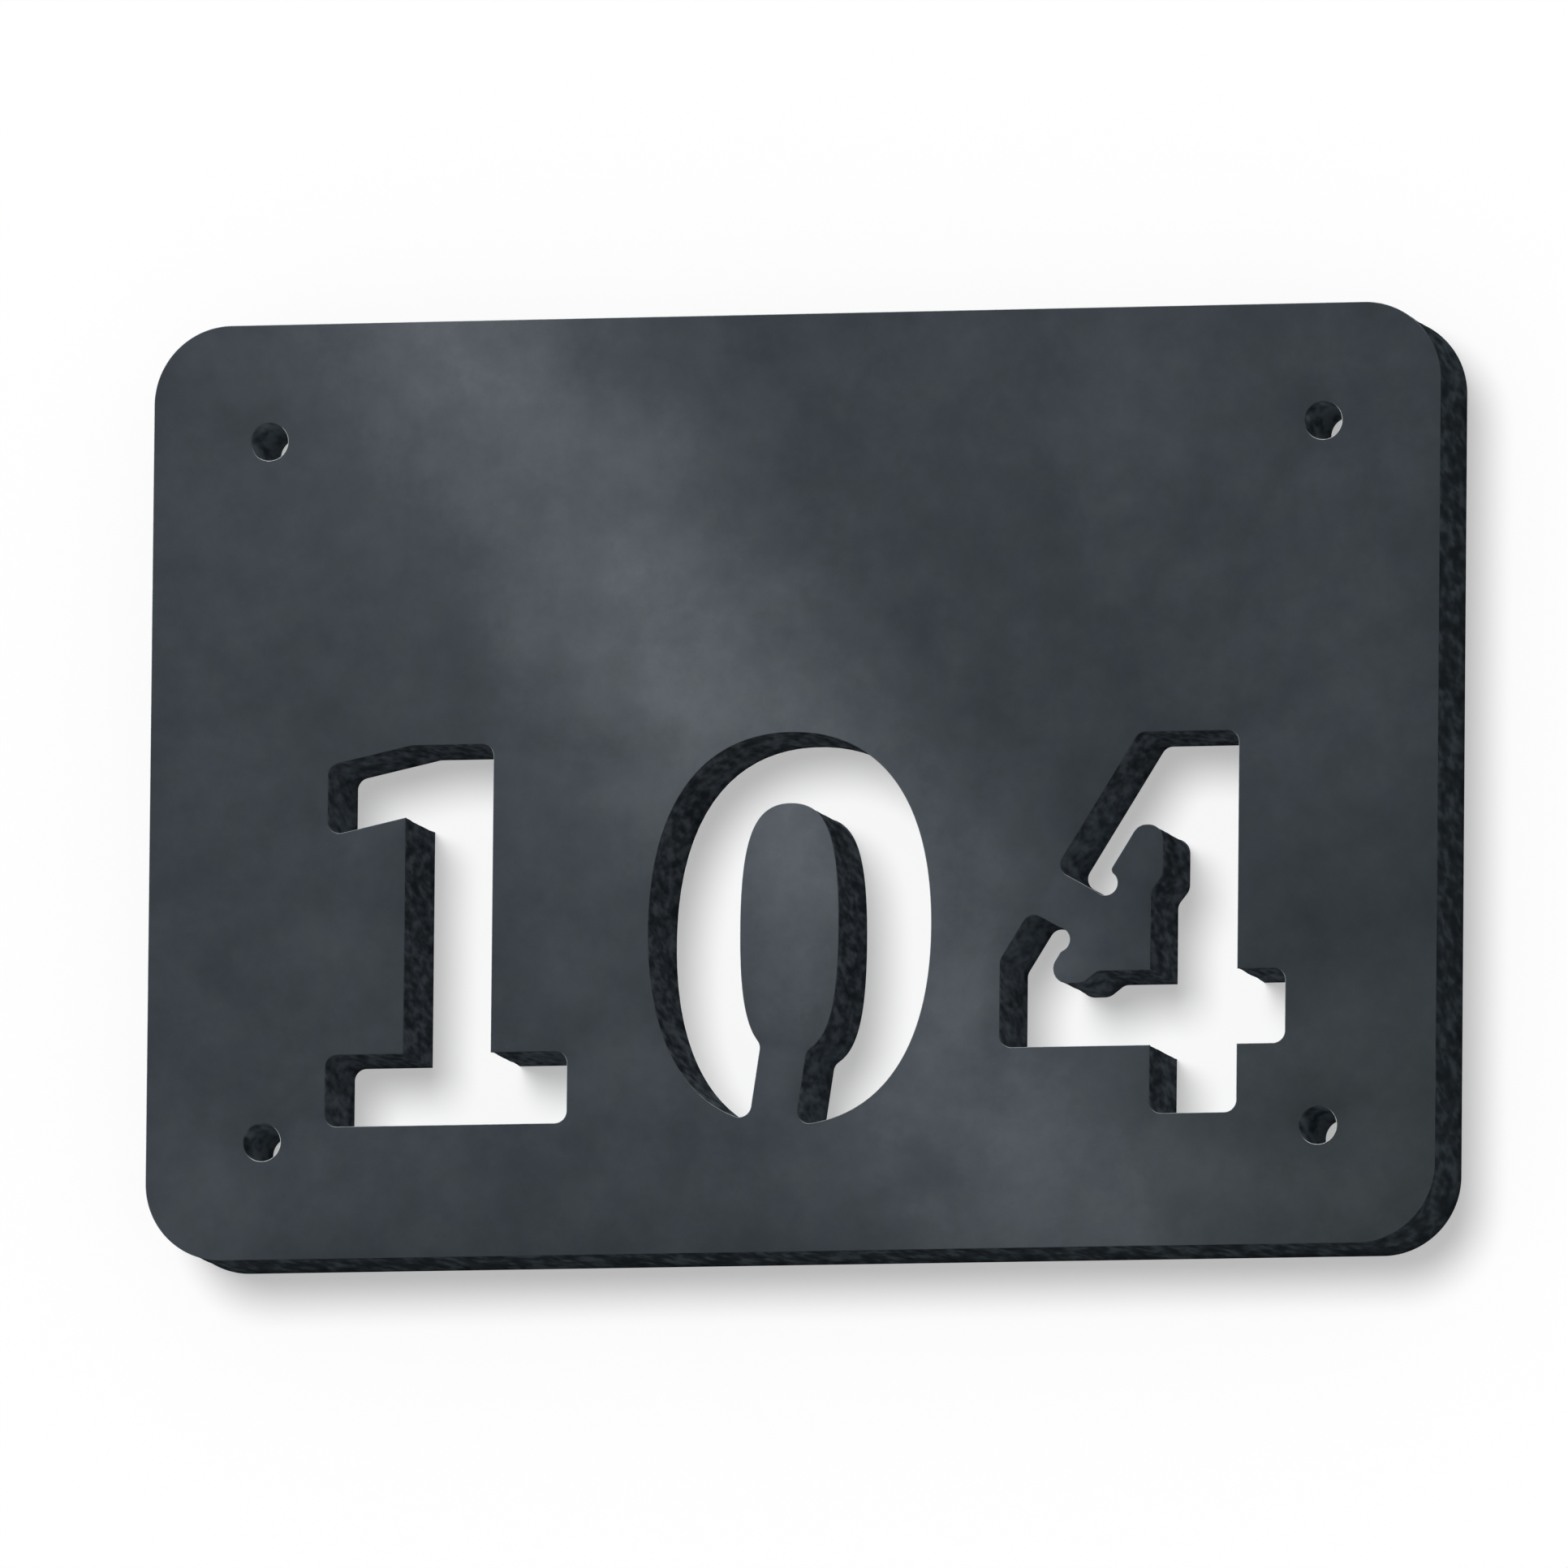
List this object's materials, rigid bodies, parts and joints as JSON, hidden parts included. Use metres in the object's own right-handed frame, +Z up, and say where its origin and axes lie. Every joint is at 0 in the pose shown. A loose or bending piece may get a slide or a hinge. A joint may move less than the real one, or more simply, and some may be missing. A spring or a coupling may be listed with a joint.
{
  "type": "house number plaque",
  "caption": "Rectangular slate wall plaque with rounded corners, a screw hole near each corner and stencil numerals cut right through it.",
  "frame": {"origin": "middle of the four screw holes, on the back face that lies against the wall", "axes": "+Z up, the honed front looks along -Y, +Y into the wall, +X to the right as the numerals are read"},
  "size_m": [0.21, 0.02, 0.15],
  "materials": {
    "slate": "honed front, sawn edges and cuts"
  },
  "bodies": {
    "root": {"plaque": "slate"}
  },
  "joints": []
}
